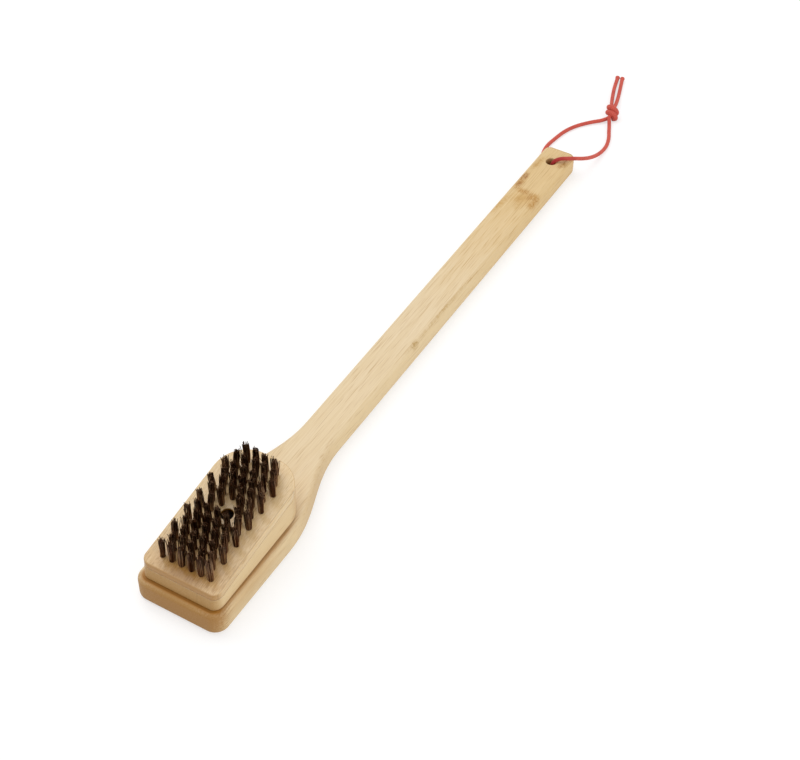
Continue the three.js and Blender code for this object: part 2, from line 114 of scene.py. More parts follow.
def plate(plan, bottom, top, rounds, stains_and_shade=(0, 0), holes=(), rims=PLAIN_RIM, lean=(0, (0,))):
    """Board with rounded edges. Ring k of its wall is the plan drawn in along its normals by inset k, at
    rise k from the lower or the upper face; each face's height is a polynomial in x. Rounds, and stains
    with painted shade, may change along the plan, and rims are (inset, share of the stain and painted
    shade) on the upper face. Its front leans forward by a share of the depth under a height. A hole is
    rings of (radius, face, depth, painted shade) round its axis, and ends blind or at the other face. Faces
    are cut into triangles round the mouths. Returns points, faces and, at each point, how far it shows end
    grain, which also holds painted shade on faces turned to the front, or side grain, how worn it is with
    a painted highlight on the rounds, and how much stain and painted shade it has."""
    edge, outward = plan
    turn = np.radians(np.linspace(0, 90, EDGE_STEPS + 1))[:, None]
    under, over = rounds
    level = np.zeros((1, len(edge)))
    rim, share = np.array(rims).T[..., None]
    flush = level + 0 * rim
    inset = np.concatenate([level + under + EDGE_RIM, level + under * (1 - np.sin(turn)),
                            level + over * (1 - np.cos(turn)), level + over + rim])
    rise = np.concatenate([level, level + under * (1 - np.cos(turn)),
                           level - over * (1 - np.sin(turn)), flush])
    upright = np.concatenate([level, level + np.sin(turn), level + np.cos(turn), flush])
    # Wear also holds a painted highlight along the middle of each round.
    worn = np.concatenate([level, level + np.sin(2 * turn), level + np.sin(2 * turn), flush])
    stain = np.concatenate([level + stains_and_shade[LOWER], level + stains_and_shade[LOWER] * np.cos(turn),
                            level + stains_and_shade[UPPER] * np.sin(turn) ** STAIN_AND_SHADE_FALL,
                            level + stains_and_shade[UPPER] * share])
    from_top = np.arange(len(inset)) > EDGE_STEPS + 1
    flat = edge - inset[..., None] * outward
    height = np.where(from_top[:, None], np.polyval(top, flat[..., 0]), np.polyval(bottom, flat[..., 0]))
    wall = np.dstack([flat, height + rise])
    slope, from_height = lean
    below = np.polyval(from_height, wall[..., 0]) - wall[..., 2]
    wall[..., 0] -= slope * np.clip(-outward[:, 0], 0, 1) * below
    points = [wall.reshape(-1, 3)]
    # End grain also stands in for painted shade on the faces turned to the front.
    numbers = {"end_grain": [upright * np.abs(outward[:, 0])],
               "side_grain": [upright ** SIDE_FALL * np.abs(outward[:, 1])],
               "worn": [worn], "stain": [stain]}
    faces = grid(len(inset), len(edge)).tolist()
    mouths = [[np.arange(len(edge))], [np.arange(len(edge)) + (len(inset) - 1) * len(edge)]]
    start = len(points[0])
    for x, y, sides, rings in holes:
        angle = np.arange(sides) * 2 * np.pi / sides
        circle = np.stack([np.cos(angle), np.sin(angle)], 1)
        for radius, face, depth, dark in rings:
            ring = np.array([x, y]) + radius * circle
            height = np.polyval((bottom, top)[face], ring[:, 0]) + (depth if face == LOWER else -depth)
            points.append(np.column_stack([ring, height]))
            for key, values in numbers.items():
                values.append(np.full(sides, dark if key == "stain" else 0.0))
        first, last = start + np.arange(sides), start + (len(rings) - 1) * sides + np.arange(sides)
        from_below = rings[0][1] == LOWER
        faces += (grid(len(rings), sides, from_below) + start).tolist()
        mouths[rings[0][1]].append(first)
        if rings[-1][2] == 0:
            mouths[rings[-1][1]].append(last)
        else:
            faces.append((last[::-1] if from_below else last).tolist())
        start += len(rings) * sides
    points = np.concatenate(points)
    for face, loops in enumerate(mouths):
        index = np.concatenate(loops)
        corners = tessellate_polygon([[Vector((x, y, 0)) for x, y, _ in points[loop]] for loop in loops])
        triangles = index[np.array(corners)]
        a, b, c = (points[triangles[:, n], :2] for n in range(3))
        area = (b - a)[:, 0] * (c - a)[:, 1] - (b - a)[:, 1] * (c - a)[:, 0]
        wrong = area < 0 if face == UPPER else area > 0
        triangles[wrong] = triangles[wrong, ::-1]
        faces += triangles.tolist()
    numbers = {key: np.concatenate([part.ravel() for part in values]) for key, values in numbers.items()}
    return points, faces, numbers


def add_piece(name, points, faces, attributes, body, nodes, slot, material):
    """Puts a surface given in millimetres into the scene, smooth but for its real edges, with numbers at
    its points for the material to read, riding on a body in the place of CAD nodes."""
    mesh = bpy.data.meshes.new(name)
    mesh.from_pydata((points * MM).tolist(), [], faces)
    for key, values in attributes.items():
        mesh.attributes.new(key, "FLOAT", "POINT").data.foreach_set("value", values.astype(np.float32))
    mesh.shade_smooth()
    mesh.set_sharp_from_angle(angle=np.radians(SMOOTH_DEG))
    mesh.materials.append(material)
    piece = bpy.data.objects.new(name, mesh)
    bpy.context.scene.collection.objects.link(piece)
    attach(piece, body)
    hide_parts(*nodes)
    return piece


def linear(code):
    """sRGB hex colour as linear RGBA."""
    s = np.array([int(code[i:i + 2], 16) for i in (1, 3, 5)]) / 255
    return (*np.where(s <= 0.04045, s / 12.92, ((s + 0.055) / 1.055) ** 2.4).tolist(), 1.0)


def node(tree, kind, inputs=None, out=0, **settings):
    """Adds one shader node. Inputs go by name or number and are values or other nodes' outputs."""
    made = tree.nodes.new("ShaderNode" + kind)
    for key, value in settings.items():
        setattr(made, key, value)
    for key, value in (inputs or {}).items():
        if isinstance(value, bpy.types.NodeSocket):
            tree.links.new(value, made.inputs[key])
        else:
            made.inputs[key].default_value = value
    return made.outputs[out] if made.outputs else made


def new_material(name):
    """An empty material and its node tree."""
    material = bpy.data.materials.new(name)
    material.use_nodes = True
    material.node_tree.nodes.clear()
    return material, material.node_tree


def bamboo(name, pale, deep, side, end, strip, joint_y, marks=(), marked_z=BOARD_THICKNESS, sanding_and_highlight=0.1,
           roughness=(0.48, 0.66)):
    """Bare sanded bamboo. The eye gets pale straw with fine darker fibre bundles along the board, faint
    changes of tone from strip to strip, thin joints, yellower sides, darker cut ends that also hold painted
    shade on faces turned to the front, amber growth marks where the stem had a node, edges paler from
    sanding and a painted highlight, brown glue lines, and painted shade in creases and on bore walls,
    darkest deep in the bores. Fibre bundles are 0.4 mm wide, drawn 0.6 mm wide to show. A mark is (x, y,
    half length, half width, turn in degrees, amount, colour), tints the grain and goes half as deep again
    into the face at marked_z as it is wide; marks also lay patches of painted shade.
    Narrow marks break up into fine wavy lines, as the fibres do at a node. Roughness is that of the
    fibres and of the softer wood between them."""
    fibre_width, fibre_length, dash_width, dash_length = 0.6, 42, 0.7, 18
    cloud_size, joint_width, end_dot, relief = 30, 0.4, 0.9, 0.05
    figure_size, figure_line, figure_widest = 3.2, 0.07, 9
    pore_brown, joint_brown, sanding_and_highlight_pale = "#B58E56", "#8F6A3C", "#F0E0C2"
    stain_and_shade_brown, glue_and_bore_shade_brown = "#A46C14", "#1E1006"
    material, tree = new_material(name)
    place = node(tree, "TexCoord", out="Object")
    across = node(tree, "SeparateXYZ", {0: place}).node.outputs
    end_grain, side_grain, worn, stain = (
        node(tree, "Attribute", out="Fac", attribute_name=key)
        for key in ("end_grain", "side_grain", "worn", "stain"))
    scaled = [
        node(tree, "Mapping", {
            "Vector": place, "Scale": (1 / (along * MM), 1 / (wide * MM), 1 / (wide * MM))})
        for along, wide in ((fibre_length, fibre_width), (dash_length, dash_width),
                            (4 * cloud_size, cloud_size / 4), (end_dot, end_dot), (figure_size, figure_size))
    ]
    fibres, dashes, cloud, dots, figure = (
        node(tree, "TexNoise", {"Vector": vector, "Scale": 1.0, "Detail": detail, "Roughness": 0.6})
        for vector, detail in zip(scaled, (3.0, 1.0, 2.0, 2.0, 1.0))
    )
    shade = node(tree, "MapRange", {0: fibres, 1: 0.34, 2: 0.68})
    colour = node(tree, "Mix", {0: shade, 6: linear(pale), 7: linear(deep)}, 2, data_type="RGBA")
    drift = node(tree, "MapRange", {0: cloud, 1: 0.4, 2: 0.7, 4: 0.14})
    drift = node(tree, "Math", {0: side_grain, 1: 0.7, 2: drift}, operation="MULTIPLY_ADD", use_clamp=True)
    colour = node(tree, "Mix", {0: drift, 6: colour, 7: linear(side)}, 2, data_type="RGBA")
    pores = node(tree, "MapRange", {0: dashes, 1: 0.58, 2: 0.74, 4: 0.5})
    colour = node(tree, "Mix", {0: pores, 6: colour, 7: linear(pore_brown)}, 2, data_type="RGBA")
    turns = node(tree, "Math", {0: across["Y"], 1: -joint_y * MM}, operation="ADD")
    turns = node(tree, "Math", {0: turns, 1: strip * MM}, operation="DIVIDE")
    number = node(tree, "Math", {0: turns}, operation="FLOOR")
    lot = node(tree, "TexWhiteNoise", {"W": number}, noise_dimensions="1D")
    lot = node(tree, "MapRange", {0: lot, 4: 0.12})
    colour = node(tree, "Mix", {0: lot, 6: colour, 7: linear(deep)}, 2, data_type="RGBA")
    ragged = node(tree, "Math", {0: dots, 1: -0.3, 2: 0.4}, operation="MULTIPLY_ADD")
    ragged = node(tree, "Math", {0: dashes, 1: -0.6, 2: ragged}, operation="MULTIPLY_ADD")
    figure = node(tree, "Math", {0: figure, 1: 0.5, 2: figure_line}, operation="COMPARE")
    for x, y, half_length, half_width, turn, amount, tone in marks:
        spot = node(tree, "Mapping", {
            "Vector": place, "Location": (x * MM, y * MM, marked_z * MM),
            "Rotation": (0, 0, np.radians(turn)),
            "Scale": (half_length * MM, half_width * MM, 1.5 * half_width * MM)}, vector_type="TEXTURE")
        reach = node(tree, "VectorMath", {0: spot}, "Value", operation="LENGTH")
        reach = node(tree, "Math", {0: reach, 1: ragged}, operation="ADD")
        spot = node(tree, "MapRange", {0: reach, 1: 1.0, 2: 0.1, 4: amount}, interpolation_type="SMOOTHSTEP")
        if half_width < figure_widest:
            lines = node(tree, "MapRange", {0: figure, 3: 0.55, 4: 1.0})
            spot = node(tree, "Math", {0: spot, 1: lines}, operation="MULTIPLY")
        tint = np.minimum(np.divide(linear(tone), linear(pale)), 1).tolist()
        colour = node(tree, "Mix", {0: spot, 6: colour, 7: tint}, 2, data_type="RGBA", blend_type="MULTIPLY")
    # Darker cut ends; their colour also holds painted shade on the faces turned to the front.
    cut = node(tree, "MapRange", {0: dots, 1: 0.3, 2: 0.7, 3: 0.8, 4: 1.0})
    cut = node(tree, "Math", {0: cut, 1: end_grain}, operation="MULTIPLY")
    colour = node(tree, "Mix", {0: cut, 6: colour, 7: linear(end)}, 2, data_type="RGBA")
    gap = node(tree, "Math", {0: turns, 1: 1.0}, operation="PINGPONG")
    joint = node(tree, "MapRange", {0: gap, 1: joint_width / strip, 2: 0.0, 4: 0.4})
    colour = node(tree, "Mix", {0: joint, 6: colour, 7: linear(joint_brown)}, 2, data_type="RGBA")
    # Edges paler from sanding, and a painted highlight along them.
    sanding_and_highlight = node(tree, "Math", {0: worn, 1: sanding_and_highlight}, operation="MULTIPLY")
    colour = node(tree, "Mix", {0: sanding_and_highlight, 6: colour, 7: linear(sanding_and_highlight_pale)}, 2, data_type="RGBA")
    # Stain brown is a real glue line and painted shade in the crease under the head, round the paddle's foot
    # and on bore walls; past 1 it goes on to the darkest brown, painted shade deep in the bores and a little
    # at the glue line.
    stained_and_shaded = node(tree, "Math", {0: stain, 1: 0.9}, operation="MULTIPLY", use_clamp=True)
    colour = node(tree, "Mix", {0: stained_and_shaded, 6: colour, 7: linear(stain_and_shade_brown)}, 2, data_type="RGBA")
    glue_and_bore_shade = node(tree, "MapRange", {0: stain, 1: 1.0, 2: 2.0})
    colour = node(tree, "Mix", {0: glue_and_bore_shade, 6: colour, 7: linear(glue_and_bore_shade_brown)}, 2, data_type="RGBA")
    rough = node(tree, "MapRange", {0: fibres, 3: roughness[0], 4: roughness[1]})
    height = node(tree, "Math", {0: fibres, 1: pores}, operation="SUBTRACT")
    normal = node(tree, "Bump", {"Height": height, "Strength": 0.5, "Distance": relief * MM})
    shader = node(tree, "BsdfPrincipled", {"Base Color": colour, "Roughness": rough, "Normal": normal})
    node(tree, "OutputMaterial", {0: shader})
    return material


board_bamboo = bamboo(
    "bare_bamboo_board", "#E8D3B0", "#DDC49A", "#E6CC9C", "#A3722E", strip=58, joint_y=-29, sanding_and_highlight=0,
    marks=[
        # the warmer half of the stem, and painted shade, warm as light bounced off the wood, at the paddle's
        # front, its right edge by the head and its front corner
        (200, 0, 170, 40, 0, 0.7, "#DEBD82"), (-232, 0, 18, 40, 0, 0.75, "#B4893F"),
        (-205, -29, 44, 9, 0, 0.4, "#BE9048"), (-231, -25, 13, 12, 0, 0.6, "#AE7E34"),
        # the node across the handle near its end
        (169, -2, 12, 13, 20, 0.45, "#D4AC60"), (175.6, 1.8, 4.2, 8.5, -6, 0.8, "#BE8E36"),
        (173.4, -7.6, 5.5, 6.5, 30, 0.75, "#C0923A"), (167, -10.4, 9, 4, -8, 0.8, "#BC8A2A"),
        (167.6, -0.6, 7, 4.4, -30, 0.5, "#C69E4E"), (159.5, -2.4, 8, 3, 10, 0.45, "#CAA45A"),
        # streaks along the left edge and beside the hang hole
        (186, 8, 16, 4, 1, 0.75, "#BE8E36"), (181.4, 7.8, 6, 3, 6, 0.6, "#AE7A30"),
        (191.4, 8.2, 7, 3, 2, 0.7, "#A8742A"), (209.6, 7.2, 12, 3.2, -4, 0.7, "#BC903C"),
        (216.4, -9, 7, 2.8, -20, 0.8, "#A67A2E"), (156, 8.6, 18, 3.6, -6, 0.6, "#C89E4C"),
        # a small knot on the right edge, and streaks to both sides of it
        (5, -11.6, 6, 4, 20, 0.85, "#B89450"), (38, -10.8, 60, 2, 0, 0.6, "#BF9C5E"),
        (-30, -13.6, 30, 2, -2, 0.55, "#C4A264"),
    ])
board_plan = mirrored_plan([
    corner(BOARD_FRONT + PADDLE_CORNER, PADDLE_HALF - PADDLE_CORNER, PADDLE_CORNER, 180, 90),
    shoulder(),
    corner(BOARD_END - HANDLE_CORNER, HANDLE_HALF - HANDLE_CORNER, HANDLE_CORNER, 90, 0),
])
rim = np.radians(np.linspace(0, 90, 5))
rim_rings = list(zip(HANG_HOLE_RADIUS + HANG_HOLE_RIM * (1 - np.sin(rim)), HANG_HOLE_RIM * (1 - np.cos(rim))))
hang_hole = [
    *[(radius, UPPER, depth, RIM_SHADE * depth) for radius, depth in rim_rings],
    (HANG_HOLE_RADIUS, UPPER, SHADED_DEPTH, HOLE_SHADES[0]),
    (HANG_HOLE_RADIUS, LOWER, SHADED_DEPTH, HOLE_SHADES[1]),
    *[(radius, LOWER, depth, RIM_SHADE * depth) for radius, depth in rim_rings[::-1]],
]
dowel_hole = [(DOWEL_RADIUS + DOWEL_EASE, UPPER, 0, 0),
              (DOWEL_RADIUS + DOWEL_EASE, UPPER, DOWEL_IN_BOARD + DOWEL_SPARE, SOCKET_SHADE)]
pilot_hole = [(PILOT_RADIUS, UPPER, 0, 0), (PILOT_RADIUS, UPPER, PILOT_DEPTH, PILOT_SHADE)]
foot_shade = np.clip((FOOT_SHADE_END - board_plan[0][:, 0]) / FOOT_SHADE_FADE, 0, 1)
foot_shade = foot_shade * (FOOT_SHADE_SIDE + (FOOT_SHADE_FRONT - FOOT_SHADE_SIDE) * np.clip(-board_plan[1][:, 0], 0, 1))
board = add_piece(
    "handle_board_bamboo",
    *plate(board_plan, (0.0,), (BOARD_THICKNESS,), (BOARD_EDGE_ROUND, BOARD_EDGE_ROUND), (0, foot_shade), [
        (HANG_HOLE_X, 0, HANG_HOLE_SIDES, hang_hole), (SCREW_X, 0, PILOT_SIDES, pilot_hole),
        *[(x, 0, BORE_SIDES, dowel_hole) for x in DOWEL_X],
    ], FOOT_SHADE_RIM),
    "handle", ["handle_board"], "bamboo_board", board_bamboo)


def channel():
    """Groove for the cord: a profile with upright sides and a half round roof, carried from the hole's
    axis along the way that the cord leaves."""
    roof = np.radians(np.linspace(0, 180, 17))
    profile = np.concatenate([CHANNEL_HALF * np.stack([np.cos(roof), 1 + np.sin(roof)], 1),
                              [[-CHANNEL_HALF, -1], [CHANNEL_HALF, -1]]])
    way = np.array([np.cos(np.radians(CHANNEL_DEG)), np.sin(np.radians(CHANNEL_DEG))])
    side = np.array([-way[1], way[0]])
    across = np.array([HANG_HOLE_X, 0]) + profile[:, :1] * side
    rows = [np.column_stack([across + along * way, profile[:, 1]]) for along in (0, CHANNEL_LENGTH)]
    around = np.arange(len(profile))
    faces = grid(2, len(profile)).tolist() + [around[::-1].tolist(), (around + len(profile)).tolist()]
    return np.concatenate(rows), faces


cutter = bpy.data.meshes.new("channel_cutter")
points, faces = channel()
cutter.from_pydata((points * MM).tolist(), [], faces)
cutter = bpy.data.objects.new("channel_cutter", cutter)
bpy.context.scene.collection.objects.link(cutter)
groove = board.modifiers.new("channel", "BOOLEAN")
groove.object, groove.operation, groove.solver = cutter, "DIFFERENCE", "EXACT"
whole = board.data
board.data = bpy.data.meshes.new_from_object(board.evaluated_get(bpy.context.evaluated_depsgraph_get()))
board.data.set_sharp_from_angle(angle=np.radians(SMOOTH_DEG))
board.modifiers.clear()
bpy.data.objects.remove(cutter)
bpy.data.meshes.remove(whole)

# Dowels
# Two fluted beech dowels, chamfered at both ends, are glued into the paddle and stand out of it.
# The head drops over them, so its one screw can't let it turn.
DOWEL_LENGTH, DOWEL_CHAMFER = 12, 0.6
DOWEL_FLUTES, FLUTE_DEPTH, FLUTE_RUN_OUT, FLUTE_STEPS = 18, 0.22, 0.4, 6


def dowel(x):
    """Round bar on the z axis: its radius is full between the chamfers and dips once for each flute."""
    sides = DOWEL_FLUTES * FLUTE_STEPS
    angle = np.arange(sides) * 2 * np.pi / sides
    half = np.array([0, DOWEL_CHAMFER, DOWEL_CHAMFER + FLUTE_RUN_OUT])
    along = np.concatenate([half, DOWEL_LENGTH - half[::-1]])
    radius = DOWEL_RADIUS - DOWEL_CHAMFER * np.array([1, 0, 0, 0, 0, 1])
    depth = np.array([0, 0, 1, 1, 0, 0])[:, None] * FLUTE_DEPTH
    r = radius[:, None] - depth * (0.5 - 0.5 * np.cos(DOWEL_FLUTES * angle)) ** 2
    z = np.broadcast_to((BOARD_THICKNESS - DOWEL_IN_BOARD + along)[:, None], r.shape)
    points = np.dstack([x + r * np.cos(angle), r * np.sin(angle), z]).reshape(-1, 3)
    around = np.arange(len(angle))
    ends = [around[::-1].tolist(), (around + (len(along) - 1) * len(angle)).tolist()]
    return points, grid(len(along), len(angle)).tolist() + ends, {}


def turned_beech():
    """Turned beech: pinkish tan with short dark flecks along the grain, 0.4 by 3 mm, matt."""
    fleck_width, fleck_length, relief = 0.4, 3, 0.04
    material, tree = new_material("turned_beech")
    place = node(tree, "TexCoord", out="Object")
    place = node(tree, "Mapping", {
        "Vector": place, "Scale": (1 / (fleck_width * MM), 1 / (fleck_width * MM), 1 / (fleck_length * MM))})
    fleck = node(tree, "TexNoise", {"Vector": place, "Scale": 1.0, "Detail": 2.0})
    shade = node(tree, "MapRange", {0: fleck, 1: 0.4, 2: 0.75})
    colour = node(tree, "Mix", {0: shade, 6: linear("#D3AE84"), 7: linear("#A67A50")}, 2, data_type="RGBA")
    normal = node(tree, "Bump", {"Height": fleck, "Strength": 0.4, "Distance": relief * MM})
    rough = node(tree, "MapRange", {0: fleck, 3: 0.6, 4: 0.75})
    shader = node(tree, "BsdfPrincipled", {"Base Color": colour, "Roughness": rough, "Normal": normal})
    node(tree, "OutputMaterial", {0: shader})
    return material


beech = turned_beech()
for end, x in zip(("front", "rear"), DOWEL_X):
    add_piece(f"dowel_{end}_beech", *dowel(x), "handle", [f"dowel_{end}"], "dowel_wood", beech)

# Head base
# The wedge-shaped lower ply of the head: a bamboo block sawn to slope up towards the handle, bored
# from above for the screw and from below for the dowels. It sits on the paddle.
HEAD_FRONT, HEAD_END = (place[0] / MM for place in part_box("head_base"))
HEAD_HALF, HEAD_FRONT_CORNER, HEAD_FAR_CORNER = 25.2, 5, 20
HEAD_BOTTOM, HEAD_FRONT_HEIGHT, HEAD_SLOPE = 15.5, 11.9, np.tan(np.radians(8.1))
FACE_PLY, GLUE_LINE, GLUE_EDGE_ROUND, HEAD_EDGE_ROUND = 4, 0.2, 0.45, 0.6
HEAD_LEAN = 0.095  # of the front, in mm for each mm down
CREASE_AT, CREASE = (0, 0.4, 0.6, 0.8, 0.87, 1), (0.3, 0.35, 1.1, 2.1, 1.9, 0.6)  # lower round, front to end
# Painted shade, warm as light bounced between the woods, on the base's lower round in the crease on the
# paddle, and on bore walls, darkest deep in them; the glue line is a real stain.
CREASE_SHADE, GLUE_STAIN, BORE_SHADE = 0.75, 1.2, 2.0
RECESS_RADIUS, SEAT_HEIGHT, SHANK_HOLE_RADIUS = 3.75, 8, 2.05
DOWEL_HOLE_RADIUS, DOWEL_HOLE_DEPTH, FAR_CORNER_STEPS = 3.3, 5.4, 24
head_top = np.array([HEAD_SLOPE, HEAD_BOTTOM + HEAD_FRONT_HEIGHT - HEAD_SLOPE * HEAD_FRONT])
head_plan = mirrored_plan([
    corner(HEAD_FRONT + HEAD_FRONT_CORNER, HEAD_HALF - HEAD_FRONT_CORNER, HEAD_FRONT_CORNER, 180, 90),
    corner(HEAD_END - HEAD_FAR_CORNER, HEAD_HALF - HEAD_FAR_CORNER, HEAD_FAR_CORNER, 90, 0, FAR_CORNER_STEPS),
])
crease = np.interp((head_plan[0][:, 0] - HEAD_FRONT) / (HEAD_END - HEAD_FRONT), CREASE_AT, CREASE)
base_top = head_top - [0, FACE_PLY + GLUE_LINE]
screw_bore = [(RECESS_RADIUS, UPPER, 0, BORE_SHADE), (RECESS_RADIUS, LOWER, SEAT_HEIGHT, BORE_SHADE),
              (SHANK_HOLE_RADIUS, LOWER, SEAT_HEIGHT, BORE_SHADE), (SHANK_HOLE_RADIUS, LOWER, 0, 0)]
dowel_socket = [(DOWEL_HOLE_RADIUS, LOWER, 0, 0), (DOWEL_HOLE_RADIUS, LOWER, DOWEL_HOLE_DEPTH, SOCKET_SHADE)]
base_bamboo = bamboo(
    "bare_bamboo_head_base", "#E4CBA0", "#D6B684", "#E0C596", "#B48A50", strip=37, joint_y=-12)
add_piece(
    "head_base_bamboo",
    *plate(head_plan, (HEAD_BOTTOM,), base_top, (crease, GLUE_EDGE_ROUND), (CREASE_SHADE, GLUE_STAIN), [
        (SCREW_X, 0, BORE_SIDES, screw_bore), *[(x, 0, BORE_SIDES, dowel_socket) for x in DOWEL_X],
    ], lean=(HEAD_LEAN, head_top)),
    "head", ["head_base"], "bamboo_head", base_bamboo)

# Face ply
# The upper ply of the head, a flat bamboo strip board glued on the sloping base, drilled for the tufts
# and polished by use. Its glue line shows as a thin dark groove all round.
# Painted shade darkens the recess and the tuft holes from just inside their mouths, darkest deep in them, and
# lies warm round the tufts' feet.
RECESS_MOUTH, RECESS_SHADES, RECESS_DEEP_SHADE_DEPTH = 0.3, (0.8, 1.8), 1.5
TUFT_HOLE_RADIUS, TUFT_HOLE_MOUTH, TUFT_HOLE_DEPTH, TUFT_HOLE_SIDES = 1.45, 0.15, 3.4, 14
TUFT_HOLE_SHADES, FACE_GLUE_STAIN = (0.07, 1.0), 1.0
TUFT_ROWS, TUFT_FIRST_ROW, TUFT_ROW_STEP, TUFT_STEP = 13, 8, 6, 6.3
TUFTS_IN_LONG_ROW, TUFTS_IN_LAST_ROW, KEEP_CLEAR = 6, 4, 5.55
tufts = []
for row in range(TUFT_ROWS):
    count = TUFTS_IN_LONG_ROW - row % 2 if row < TUFT_ROWS - 1 else TUFTS_IN_LAST_ROW
    x = HEAD_FRONT + TUFT_FIRST_ROW + row * TUFT_ROW_STEP
    tufts += [(x, (place - (count - 1) / 2) * TUFT_STEP) for place in range(count)]
tufts = np.array(tufts)
tufts = tufts[np.hypot(tufts[:, 0] - SCREW_X, tufts[:, 1]) > KEEP_CLEAR]
recess = [(RECESS_RADIUS + RECESS_MOUTH, UPPER, 0, 0), (RECESS_RADIUS, UPPER, RECESS_MOUTH, RECESS_SHADES[0]),
          (RECESS_RADIUS, UPPER, RECESS_DEEP_SHADE_DEPTH, RECESS_SHADES[1]), (RECESS_RADIUS, LOWER, 0, BORE_SHADE)]
tuft_hole = [(TUFT_HOLE_RADIUS + TUFT_HOLE_MOUTH, UPPER, 0, TUFT_HOLE_SHADES[0]),
             (TUFT_HOLE_RADIUS, UPPER, TUFT_HOLE_MOUTH, TUFT_HOLE_SHADES[1]),
             (TUFT_HOLE_RADIUS, UPPER, TUFT_HOLE_DEPTH, BORE_SHADE)]
face_bottom, face_rounds = head_top - [0, FACE_PLY], (GLUE_EDGE_ROUND, HEAD_EDGE_ROUND)
face_bamboo = bamboo(
    "bare_bamboo_face_ply", "#ECD1A3", "#DCBA86", "#DEC392", "#AF7E39", strip=48.4, joint_y=-24.2,
    marked_z=30, roughness=(0.14, 0.28),
    # painted shade, warm as light bounced off the wood, on the front of the face among and in front of the
    # tufts, where less light falls
    marks=[(-226, 0, 36, 44, 0, 0.6, "#BE9050"), (-200, -14, 52, 26, 0, 0.25, "#C2965A"),
           (-224, -1, 12, 20, 0, 0.85, "#BE9752")])
add_piece(
    "head_face_bamboo",
    *plate(head_plan, face_bottom, head_top, face_rounds, (FACE_GLUE_STAIN, 0), [
        (SCREW_X, 0, BORE_SIDES, recess), *[(x, y, TUFT_HOLE_SIDES, tuft_hole) for x, y in tufts],
    ], lean=(HEAD_LEAN, head_top)),
    "head", ["head_face"], "bamboo_head", face_bamboo)

# Bristle tufts
# Each tuft is about fifty drawn and tempered steel wires, doubled over an anchor in its hole, so they
# stand packed at the wood, spread a little towards their cut tips and stray with use.
WIRES_IN_TUFT, WIRE_RADIUS, WIRE_SIDES, WIRE_STEPS = 48, 0.18, 5, 4
TUFT_LENGTH, TUFT_ROOT, TUFT_PACKED = 13.4, 3.0, 1.22
SPREAD_LEAST, SPREAD_MOST, BELLY, RAGGED, TUFT_LEAN = 0.15, 0.6, 0.4, 0.9, 0.5
ROOT_WANDER, WIRE_WANDER, WIRE_BOW, STRAY_REACH, STRAY_SHARE = 0.05, 0.3, 0.16, 1.2, 0.07
GOLDEN_ANGLE = np.pi * (3 - np.sqrt(5))
draw = np.random.default_rng(41)


def wires(roots):
    """Thin tubes: wires start on a sunflower disc in each hole, then drift outwards with the square of
    their height by their tuft's own spread and belly out half way up, plus a lean that a tuft shares, a
    wander and bow of their own, and a few strays."""
    total = len(roots) * WIRES_IN_TUFT
    number = np.tile(np.arange(WIRES_IN_TUFT), len(roots))
    radius = TUFT_PACKED * np.sqrt((number + 0.5) / WIRES_IN_TUFT)
    angle = number * GOLDEN_ANGLE + np.repeat(draw.uniform(0, 2 * np.pi, len(roots)), WIRES_IN_TUFT)
    offset = np.stack([radius * np.cos(angle), radius * np.sin(angle)], 1)
    offset += draw.normal(0, ROOT_WANDER, (total, 2))
    lean = np.repeat(draw.normal(0, TUFT_LEAN, (len(roots), 2)), WIRES_IN_TUFT, axis=0)
    spread = np.repeat(draw.uniform(SPREAD_LEAST, SPREAD_MOST, len(roots)), WIRES_IN_TUFT)[:, None]
    stray = draw.normal(0, STRAY_REACH, (total, 2)) * (draw.random((total, 1)) < STRAY_SHARE)
    drift = offset * spread + lean + draw.normal(0, WIRE_WANDER, (total, 2)) + stray
    bow = offset * BELLY + draw.normal(0, WIRE_BOW, (total, 2))
    root = np.repeat(roots, WIRES_IN_TUFT, axis=0)
    wood = np.polyval(head_top, root[:, 0])
    low, high = wood - TUFT_ROOT, wood + TUFT_LENGTH + draw.normal(0, RAGGED, total)
    t = np.linspace(0, 1, WIRE_STEPS + 1)[:, None]
    line = (root + offset)[:, None] + drift[:, None] * t ** 2 + bow[:, None] * np.sin(np.pi * t)
    z = low[:, None] + (high - low)[:, None] * t[:, 0]
    side = np.arange(WIRE_SIDES) * 2 * np.pi / WIRE_SIDES
    ring = WIRE_RADIUS * np.stack([np.cos(side), np.sin(side)], 1)
    flat = line[:, :, None] + ring
    points = np.concatenate([flat, np.broadcast_to(z[:, :, None, None], (*flat.shape[:3], 1))], 3)
    each = (WIRE_STEPS + 1) * WIRE_SIDES
    first = np.arange(total)[:, None] * each
    quads = (first[:, :, None] + grid(WIRE_STEPS + 1, WIRE_SIDES)).reshape(-1, 4)
    tips = first + np.arange(WIRE_SIDES) + WIRE_STEPS * WIRE_SIDES
    roots_shut = first + np.arange(WIRE_SIDES)[::-1]
    tone = np.repeat(draw.random(total), each)
    climb = np.tile(np.repeat(t[:, 0], WIRE_SIDES), total)
    faces = quads.tolist() + tips.tolist() + roots_shut.tolist()
    return points.reshape(-1, 3), faces, {"tone": tone, "climb": climb}


